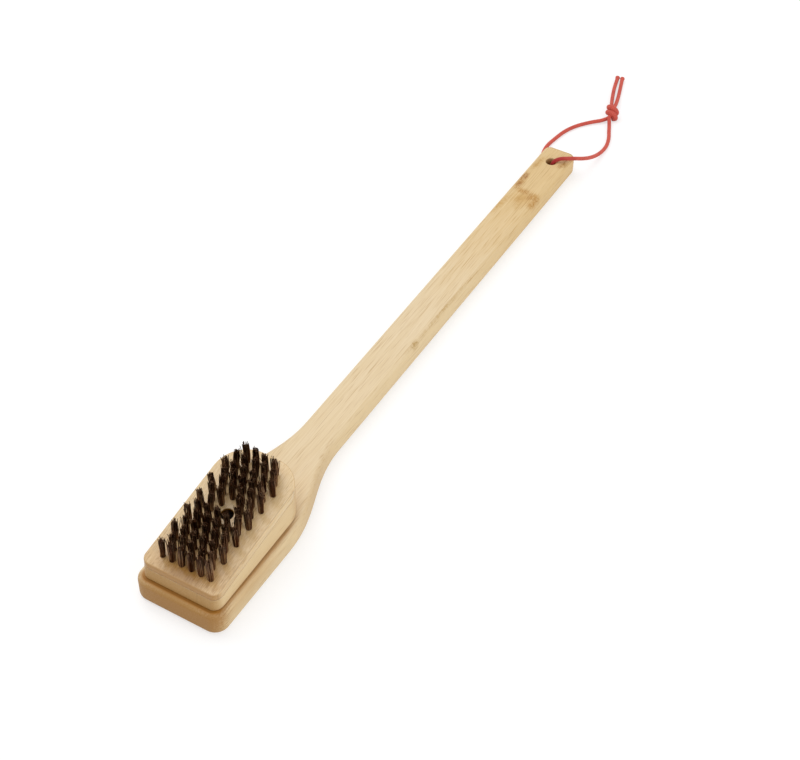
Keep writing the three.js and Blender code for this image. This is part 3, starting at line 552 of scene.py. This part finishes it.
def tempered_wire():
    """Drawn wire, tempered and scorched: dark brown with a dull metal glint, some wires paler than the
    rest, and blackened towards their tips. Drawing marks 0.3 mm apart run along each wire for 4 mm."""
    mark_width, mark_length = 0.3, 4
    material, tree = new_material("tempered_steel_wire")
    tone = node(tree, "Attribute", out="Fac", attribute_name="tone")
    climb = node(tree, "Attribute", out="Fac", attribute_name="climb")
    place = node(tree, "TexCoord", out="Object")
    place = node(tree, "Mapping", {
        "Vector": place, "Scale": (1 / (mark_width * MM), 1 / (mark_width * MM), 1 / (mark_length * MM))})
    marks = node(tree, "TexNoise", {"Vector": place, "Scale": 1.0, "Detail": 1.0})
    bare = node(tree, "MapRange", {0: tone, 1: 0.3, 2: 1.0})
    colour = node(tree, "Mix", {0: bare, 6: linear("#582E0E"), 7: linear("#C9A682")}, 2, data_type="RGBA")
    dull = node(tree, "MapRange", {0: marks, 1: 0.45, 2: 0.7, 4: 0.6})
    colour = node(tree, "Mix", {0: dull, 6: colour, 7: linear("#301604")}, 2, data_type="RGBA")
    cut = node(tree, "MapRange", {0: climb, 1: 0.5, 2: 1.0, 4: 0.7})
    colour = node(tree, "Mix", {0: cut, 6: colour, 7: linear("#331804")}, 2, data_type="RGBA")
    rough = node(tree, "MapRange", {0: marks, 3: 0.28, 4: 0.5})
    shader = node(tree, "BsdfPrincipled", {"Base Color": colour, "Roughness": rough, "Metallic": 0.9})
    node(tree, "OutputMaterial", {0: shader})
    return material


wire = tempered_wire()
from_screw = tufts[:, 0] - SCREW_X
beside = np.abs(from_screw) < TUFT_ROW_STEP
tuft_groups = {"front": ~beside & (from_screw < 0), "left": beside & (tufts[:, 1] > 0),
               "right": beside & (tufts[:, 1] < 0), "rear": ~beside & (from_screw > 0)}
for group, inside in tuft_groups.items():
    add_piece(f"bristles_{group}_wire", *wires(tufts[inside]), "head", [f"bristles_{group}"],
              "bristle_wire", wire)

# Head screw
# A zinc-plated steel wood screw with a pan head and a cross recess. It goes down through the head
# into the paddle and holds the head on.
HEAD_RADIUS, HEAD_RIM, HEAD_BEVEL, DOME_RISE, SCREW_SEAT = 3.3, 1.7, 0.2, 1.1, 23.5
CROSS_HALF, CROSS_REACH, CROSS_DEPTH = 0.5, 1.9, 1.3
CROSS_WALL, CROSS_END, CROSS_TAPER = 0.12, 0.3, 0.35  # widths of its sloping sides, and share it shallows by
THREAD_RADIUS, CORE_RADIUS, THREAD_PITCH, THREAD_TOP = 1.75, 1.25, 1.6, 18.5
THREAD_CREST, THREAD_FLANK, THREAD_RUN_OUT, NECK_RUN_OUT, NECK_EASE = 1.25, 4.2, 1.2, 1.0, 0.1
SCREW_TIP_Z, TIP_LENGTH, TIP_POWER, TIP_LEAST = 5.25, 3.2, 0.8, 0.02
SCREW_SIDES, CROWN_STEPS, SHANK_STEP, POLE = 72, 40, 0.1, 0.02


def screw():
    """Surface of revolution from the crown down to the tip, on a grid of angle and distance along its
    profile. The crown is lowered inside a cross, and the shank's radius follows a thread: full where
    height over pitch and angle agree, core between."""
    angle = np.arange(SCREW_SIDES) * 2 * np.pi / SCREW_SIDES
    out = np.linspace(POLE, HEAD_RADIUS, CROWN_STEPS)
    crown = SCREW_SEAT + HEAD_RIM + DOME_RISE * np.sqrt(np.clip(1 - (out / HEAD_RADIUS) ** 2, 0, 1))
    shank = np.arange(SCREW_SEAT, SCREW_TIP_Z, -SHANK_STEP)
    rows_r = np.concatenate([out, [HEAD_RADIUS, HEAD_RADIUS - HEAD_BEVEL],
                             np.full(len(shank), THREAD_RADIUS), [POLE]])
    rows_z = np.concatenate([crown, [SCREW_SEAT + HEAD_BEVEL, SCREW_SEAT], shank, [SCREW_TIP_Z]])
    r = np.repeat(rows_r[:, None], SCREW_SIDES, 1)
    z = np.repeat(rows_z[:, None], SCREW_SIDES, 1)
    x, y = r * np.cos(angle), r * np.sin(angle)
    near = np.minimum(np.abs(x), np.abs(y))
    sunk = np.clip((CROSS_HALF - near) / CROSS_WALL, 0, 1) * np.clip((CROSS_REACH - r) / CROSS_END, 0, 1)
    z[:len(out)] -= (CROSS_DEPTH * sunk * (1 - CROSS_TAPER * r / CROSS_REACH))[:len(out)]
    first = len(out) + 2
    rows = slice(first, first + len(shank))
    phase = (z[rows] / THREAD_PITCH - angle / (2 * np.pi)) % 1
    ridge = np.clip(THREAD_CREST - THREAD_FLANK * np.abs(phase - 0.5), 0, 1)
    ridge = ridge * np.clip((THREAD_TOP - z[rows]) / THREAD_RUN_OUT, 0, 1)
    plain = np.clip((z[rows] - THREAD_TOP) / NECK_RUN_OUT, 0, 1) * (THREAD_RADIUS - NECK_EASE - CORE_RADIUS)
    point = np.clip((z[rows] - SCREW_TIP_Z) / TIP_LENGTH, TIP_LEAST, 1) ** TIP_POWER
    r[rows] = (CORE_RADIUS + plain + ridge * (THREAD_RADIUS - CORE_RADIUS)) * point
    points = np.dstack([SCREW_X + r * np.cos(angle), r * np.sin(angle), z]).reshape(-1, 3)
    around = np.arange(SCREW_SIDES)
    ends = [around.tolist(), (around[::-1] + (len(rows_r) - 1) * SCREW_SIDES).tolist()]
    return points, grid(len(rows_r), SCREW_SIDES, True).tolist() + ends, {}


def zinc_steel():
    """Zinc-plated steel: silver grey with a slight yellow cast, cloudy on a 2 mm scale, half bright."""
    cloud_size = 2
    material, tree = new_material("zinc_plated_steel")
    place = node(tree, "TexCoord", out="Object")
    cloud = node(tree, "TexNoise", {"Vector": place, "Scale": 1 / (cloud_size * MM), "Detail": 3.0})
    colour = node(tree, "Mix", {0: cloud, 6: linear("#9C9890"), 7: linear("#C4C0B4")}, 2, data_type="RGBA")
    rough = node(tree, "MapRange", {0: cloud, 3: 0.25, 4: 0.5})
    shader = node(tree, "BsdfPrincipled", {"Base Color": colour, "Roughness": rough, "Metallic": 1.0})
    node(tree, "OutputMaterial", {0: shader})
    return material


add_piece("head_screw_steel", *screw(), "screw", ["head_screw"], "screw_steel", zinc_steel())

# Hanging cord
# A round braided cord of red polyester, 2.6 mm thick. It goes up through the hang hole, one run over
# the handle's end and one out through the groove under it, and is limp, so it lies where it falls.
CORD_RADIUS, CORD_SIDES, CORD_STEP = 1.3, 40, 0.16
CORD_CARRIERS, CORD_LAY, BRAID_RELIEF, BRAID_MEAN = 8, 9.0, 0.18, 0.4
LOZENGE_NARROW, LOZENGE_FALL = 1.9, 1.6  # how fast a yarn falls off across and along its way
HOLE_SHADE_LENGTH, HOLE_SHADE_START = 26, 1.5  # painted shade, darker crimson, on the cord in the hang hole, fading out along it
CUT_LENGTH, CUT_SWELL = 3.0, 0.3  # the melted ends of the tails
RING_FACES = np.array([0.3, 0.95, 0.0])  # the side that each ring of the cord starts on
HOLE = np.array([HANG_HOLE_X, 0, 0])
CORD_ROUTES = {
    "over": [
        (-0.4, -1.0, 8.0), (-0.4, -1.0, 12.0), (0.3, -2.0, 15.5), (2.2, -4.8, 17.6), (6.6, -9.8, 17.3),
        (12.0, -13.8, 15.4), (18.3, -16.0, 12.2), (26.5, -17.6, 8.2), (35.5, -18.6, 4.6), (45.0, -19.2, 2.2),
        (54.0, -18.9, 1.5), (63.0, -16.6, 1.5), (71.7, -12.8, 1.6), (79.0, -9.5, 2.3), (83.0, -7.2, 4.0)],
    "under": [
        (-0.4, -1.0, 8.0), (-0.3, -0.9, 6.4), (0.3, -0.2, 4.2), (1.6, 1.0, 2.6), (3.4, 2.6, 1.7),
        (5.4, 4.3, 1.5), (11.2, 9.0, 1.5), (16.5, 13.2, 1.5), (21.6, 16.3, 1.5), (31.3, 18.0, 1.5),
        (43.0, 17.0, 1.5), (56.0, 14.4, 1.5), (66.0, 9.8, 1.5), (74.5, 3.2, 1.7), (80.0, -2.4, 2.0),
        (83.4, -5.0, 2.3)],
    "tail_left": [
        (96.6, -2.9, 4.3), (103.5, 0.0, 3.2), (112.0, 3.2, 1.9), (123.0, 6.9, 1.5), (137.4, 10.7, 1.85)],
    "tail_right": [
        (97.0, -4.9, 4.3), (104.5, -3.3, 3.1), (114.0, -0.6, 1.8), (125.5, 3.0, 1.5), (138.0, 7.0, 1.85)],
}


def smooth_route(points, per_span=40):
    """Centripetal Catmull-Rom line through the points, then taken again at equal steps of length."""
    p = np.array(points, float)
    p = np.concatenate([[2 * p[0] - p[1]], p, [2 * p[-1] - p[-2]]])
    p0, p1, p2, p3 = p[:-3], p[1:-2], p[2:-1], p[3:]
    d = np.sqrt(np.linalg.norm(np.diff(p, axis=0), axis=1))[:, None]
    d0, d1, d2 = d[:-2], d[1:-1], d[2:]
    m1 = d1 * ((p1 - p0) / d0 - (p2 - p0) / (d0 + d1) + (p2 - p1) / d1)
    m2 = d1 * ((p2 - p1) / d1 - (p3 - p1) / (d1 + d2) + (p3 - p2) / d2)
    t = np.linspace(0, 1, per_span + 1)[:, None, None]
    line = ((2 * t ** 3 - 3 * t ** 2 + 1) * p1 + (t ** 3 - 2 * t ** 2 + t) * m1
            + (-2 * t ** 3 + 3 * t ** 2) * p2 + (t ** 3 - t ** 2) * m2)
    line = line.transpose(1, 0, 2).reshape(-1, 3)
    line = line[np.concatenate([[True], np.linalg.norm(np.diff(line, axis=0), axis=1) > 1e-9])]
    run = np.concatenate([[0], np.cumsum(np.linalg.norm(np.diff(line, axis=0), axis=1))])
    even = np.linspace(0, run[-1], int(run[-1] / CORD_STEP) + 1)
    return np.stack([np.interp(even, run, line[:, k]) for k in range(3)], 1), run[-1]


def braid(line, swell, first=0):
    """Tube round a line, raised by its braid. Two sets of carriers wind round it in opposite ways; where
    they cross, by turns one set and the other is on top, as a rounded lozenge along its own way. Swell
    thickens it along the line, and first is the number of its first point in a mesh of several strands."""
    way = np.gradient(line, axis=0)
    way /= np.linalg.norm(way, axis=1, keepdims=True)
    side = RING_FACES - (way @ RING_FACES)[:, None] * way
    side /= np.linalg.norm(side, axis=1, keepdims=True)
    other = np.cross(way, side)
    turn = np.arange(CORD_SIDES) / CORD_SIDES
    along = np.arange(len(line))[:, None] * CORD_STEP / CORD_LAY
    right, left = CORD_CARRIERS * (turn + along), CORD_CARRIERS * (turn - along)
    over = (np.round(right) + np.round(left)) % 2 < 0.5
    off_right, off_left = right - np.round(right), left - np.round(left)
    across, length = np.where(over, off_right, off_left), np.where(over, off_left, off_right)
    crown = np.sqrt(np.clip(1 - (LOZENGE_NARROW * across) ** 2, 0, 1))
    raised = crown * (1 - LOZENGE_FALL * length ** 2)
    radius = (CORD_RADIUS + BRAID_RELIEF * (raised - BRAID_MEAN)) * swell[:, None]
    angle = 2 * np.pi * turn
    ring = np.cos(angle)[:, None] * side[:, None] + np.sin(angle)[:, None] * other[:, None]
    points = (line[:, None] + radius[..., None] * ring).reshape(-1, 3)
    around = first + np.arange(CORD_SIDES)
    ends = [around[::-1].tolist(), (around + (len(line) - 1) * CORD_SIDES).tolist()]
    return points, (first + grid(len(line), CORD_SIDES)).tolist() + ends, {"raised": raised.ravel()}


def braided_polyester():
    """Braided polyester yarn: coral red, with a painted highlight on the crown of each yarn and painted shade
    in crimson in the crossings and in and near the hang hole; the knot is a little darker crimson. It has a
    faint fuzz. Filaments are finer than shows, so their streaks are drawn 0.35 mm apart, as painted glints.
    The dye is uneven over 9 mm."""
    streak_width, fade_size, relief = 0.35, 9, 0.05
    material, tree = new_material("braided_polyester_cord")
    raised, darker_crimson = (node(tree, "Attribute", out="Fac", attribute_name=key) for key in ("raised", "darker_crimson"))
    place = node(tree, "TexCoord", out="Object")
    streak = node(tree, "TexNoise", {"Vector": place, "Scale": 1 / (streak_width * MM), "Detail": 2.0})
    fade = node(tree, "TexNoise", {"Vector": place, "Scale": 1 / (fade_size * MM), "Detail": 1.0})
    # Painted highlight on the crown of each yarn and painted shade in the crossings.
    crown = node(tree, "MapRange", {0: raised, 1: 0.1, 2: 0.95})
    colour = node(tree, "Mix", {0: crown, 6: linear("#A32425"), 7: linear("#D65945")}, 2, data_type="RGBA")
    # Painted glints along the filaments.
    light = node(tree, "MapRange", {0: streak, 1: 0.45, 2: 0.75, 4: 0.4})
    colour = node(tree, "Mix", {0: light, 6: colour, 7: linear("#E07462")}, 2, data_type="RGBA")
    # Uneven dye, and darker crimson: painted shade in and near the hang hole, a little over the whole knot.
    dark = node(tree, "MapRange", {0: fade, 1: 0.5, 2: 0.8, 4: 0.3})
    dark = node(tree, "Math", {0: darker_crimson, 1: 0.9, 2: dark}, operation="MULTIPLY_ADD", use_clamp=True)
    colour = node(tree, "Mix", {0: dark, 6: colour, 7: linear("#9E0F18")}, 2, data_type="RGBA")
    normal = node(tree, "Bump", {"Height": streak, "Strength": 0.35, "Distance": relief * MM})
    shader = node(tree, "BsdfPrincipled", {
        "Base Color": colour, "Roughness": 0.72, "Normal": normal,
        "Sheen Weight": 0.2, "Sheen Roughness": 0.5, "Sheen Tint": linear("#F2B7AE")})
    node(tree, "OutputMaterial", {0: shader})
    return material


polyester = braided_polyester()
cords = {}
for run, route in CORD_ROUTES.items():
    line, length = smooth_route(HOLE + np.array(route))
    along = np.linspace(0, length, len(line))
    tail = run.startswith("tail")
    swell = 1 + CUT_SWELL * tail * np.clip(1 - (length - along) / CUT_LENGTH, 0, 1)
    darker_crimson = (not tail) * np.clip(HOLE_SHADE_START * (1 - along / HOLE_SHADE_LENGTH), 0, 1)
    points, faces, numbers = braid(line, swell)
    numbers["darker_crimson"] = np.repeat(darker_crimson, CORD_SIDES)
    piece = add_piece(
        f"cord_{run}_braid", points, faces, numbers, "handle", [f"cord_{run}"], "red_cord", polyester)
    cords[run] = piece, line, length

# Knot
# Both runs of the cord are tied together in one overhand knot: the pair winds once round itself and is
# pulled tight, and the two cut tails come out of the far side.
KNOT_CENTRE, KNOT_TURN_DEG, KNOT_TILT_DEG = HOLE + np.array([90.0, -6.5, 4.5]), 15, 30
WRAP_RADIUS, WRAP_FIRST_DEG, WRAP_LAST_DEG, WRAP_APART, WRAP_FALL = 3.0, -55, 225, 4.2, 3.6
WRAP_CORE, WRAP_EASE, WRAP_SWELL, CORD_ON_TABLE, WRAP_POINTS = 0.35, 0.16, 1.5, 2.15, 60
THROUGH_KNOT = {("over", "tail_right"): (0.5, 0.5, 0.5), ("under", "tail_left"): (-0.5, -0.5, -1.0)}
KNOT_LAP, KNOT_DARKER = 8, 0.12  # steps of cord that run on into the knot, and how much darker crimson it is


def wrap(strand):
    """One strand of the winding: a helix about a tilted axis, from the left over the top to the right,
    falling as it goes, that rises out of the core at its start and sinks back at its end. No point is
    lower than the cord lies on the table."""
    t = np.linspace(0, 1, WRAP_POINTS)
    degrees = WRAP_FIRST_DEG + (WRAP_LAST_DEG - WRAP_FIRST_DEG) * t
    rise = np.clip(np.minimum(t, 1 - t) / WRAP_EASE, 0, 1)
    radius = WRAP_RADIUS * (WRAP_CORE + (1 - WRAP_CORE) * rise * rise * (3 - 2 * rise))
    along = (0.5 - strand) * WRAP_APART - WRAP_FALL * (degrees - 90) / 180
    turn, tilt = np.radians(KNOT_TURN_DEG), np.radians(KNOT_TILT_DEG)
    axis = np.array([np.cos(tilt) * np.cos(turn), np.cos(tilt) * np.sin(turn), np.sin(tilt)])
    left = np.array([-np.sin(turn), np.cos(turn), 0])
    angle = np.radians(degrees)
    line = (KNOT_CENTRE + along[:, None] * axis + (radius * np.cos(angle))[:, None] * left
            + (radius * np.sin(angle))[:, None] * np.cross(axis, left))
    line[:, 2] = np.maximum(line[:, 2], CORD_ON_TABLE)
    return line


strands = [(smooth_route(wrap(strand), per_span=6)[0], WRAP_SWELL) for strand in (0, 1)]
for (run, tail), inside in THROUGH_KNOT.items():
    start, end = cords[run][1], cords[tail][1]
    through = [start[-KNOT_LAP], start[-1], KNOT_CENTRE + inside, end[0], end[KNOT_LAP]]
    strands.append((smooth_route(through)[0], 1))
knot_points, knot_faces, raised, first = [], [], [], 0
for line, swell in strands:
    points, faces, numbers = braid(line, np.full(len(line), swell), first)
    knot_points.append(points)
    knot_faces += faces
    raised.append(numbers["raised"])
    first += len(points)
raised = np.concatenate(raised)
knot = add_piece(
    "cord_knot_braid", np.concatenate(knot_points), knot_faces,
    {"raised": raised, "darker_crimson": np.full(len(raised), KNOT_DARKER)},
    "handle", ["cord_knot"], "red_cord", polyester)
for run, (piece, line, length) in cords.items():
    tail = run.startswith("tail")

# Floor
# A plain white sweep. The camera sees it white, with the object's soft shadow kept, and it sends back
# the light of a pale floor.
FLOOR_HALF, FLOOR_SHADE, FLOOR_GLOW = 3000, 0.5, 0.57


def seen_directly(tree):
    """1 for a ray that shows a thing to the viewer, straight, mirrored or through glass, and 0 for one
    that only carries light."""
    rays = node(tree, "LightPath").node.outputs
    seen = node(tree, "Math", {0: rays["Is Camera Ray"], 1: rays["Is Glossy Ray"]}, operation="MAXIMUM")
    return node(tree, "Math", {0: seen, 1: rays["Is Transmission Ray"]}, operation="MAXIMUM")


floor_mesh = bpy.data.meshes.new("floor")
square = np.array([[-1, -1, 0], [1, -1, 0], [1, 1, 0], [-1, 1, 0]]) * FLOOR_HALF * MM
floor_mesh.from_pydata(square.tolist(), [], [[0, 1, 2, 3]])
floor = bpy.data.objects.new("floor", floor_mesh)
bpy.context.scene.collection.objects.link(floor)
white_floor, tree = new_material("white_floor")
shadow = node(tree, "BsdfDiffuse", {"Color": (FLOOR_SHADE, FLOOR_SHADE, FLOOR_SHADE, 1)})
glow = node(tree, "Emission", {"Strength": FLOOR_GLOW})
shown = node(tree, "AddShader", {0: shadow, 1: glow})
pale = node(tree, "BsdfDiffuse", {"Color": linear("#EEEDEA")})
node(tree, "OutputMaterial", {0: node(tree, "MixShader", {0: seen_directly(tree), 1: pale, 2: shown})})
floor_mesh.materials.append(white_floor)

# Light
# A pale studio all round, one large softbox overhead and behind, so that shadows fall softly towards
# the viewer, and a second one low at the right that fills the long side of the board.
WORLD_LIGHT = 0.66
SOFTBOXES = {  # watts, width and place, in metres
    "softbox_behind": (9, 1.4, (0.1, 0.7, 1.35)),
    "softbox_right": (8, 1.5, (-0.2, -1.6, 0.75)),
}
world = bpy.data.worlds.new("studio")
bpy.context.scene.world = world
world.use_nodes = True
tree = world.node_tree
tree.nodes.clear()
strength = node(tree, "MapRange", {0: seen_directly(tree), 3: WORLD_LIGHT, 4: 1.0})
node(tree, "OutputWorld", {0: node(tree, "Background", {"Color": (1, 1, 1, 1), "Strength": strength})})
for name, (watts, size, place) in SOFTBOXES.items():
    lamp = bpy.data.lights.new(name, "AREA")
    lamp.energy, lamp.size = watts, size
    lamp = bpy.data.objects.new(name, lamp)
    lamp.location = place
    lamp.rotation_euler = (-Vector(place)).to_track_quat("-Z", "Y").to_euler()
    bpy.context.scene.collection.objects.link(lamp)

# Camera
# It stands in front of the head, to the right and well above, as the brush was photographed.
AZIMUTH, ELEVATION, ROLL, DISTANCE = np.radians(-60.31), np.radians(45.08), np.radians(1.08), 0.9921
AIM, FOCAL_PIXELS, IMAGE_WIDTH, SENSOR_WIDTH = np.array([-0.01425, -0.0116, 0]), 1594.5, 800, 36
back = np.array([np.sin(AZIMUTH) * np.cos(ELEVATION), -np.cos(AZIMUTH) * np.cos(ELEVATION),
                 np.sin(ELEVATION)])
level = np.cross([0, 0, 1], back)
level /= np.linalg.norm(level)
above = np.cross(back, level)
right = np.cos(ROLL) * level + np.sin(ROLL) * above
up = np.cos(ROLL) * above - np.sin(ROLL) * level
view = bpy.data.cameras.new("camera")
view.sensor_fit, view.sensor_width = "HORIZONTAL", SENSOR_WIDTH
view.lens = FOCAL_PIXELS / IMAGE_WIDTH * SENSOR_WIDTH
camera = bpy.data.objects.new("camera", view)
camera.location = AIM + back * DISTANCE
camera.rotation_euler = Matrix(np.stack([right, up, back], 1).tolist()).to_euler()
bpy.context.scene.collection.objects.link(camera)
bpy.context.scene.camera = camera
bpy.context.scene.view_settings.view_transform = "Standard"
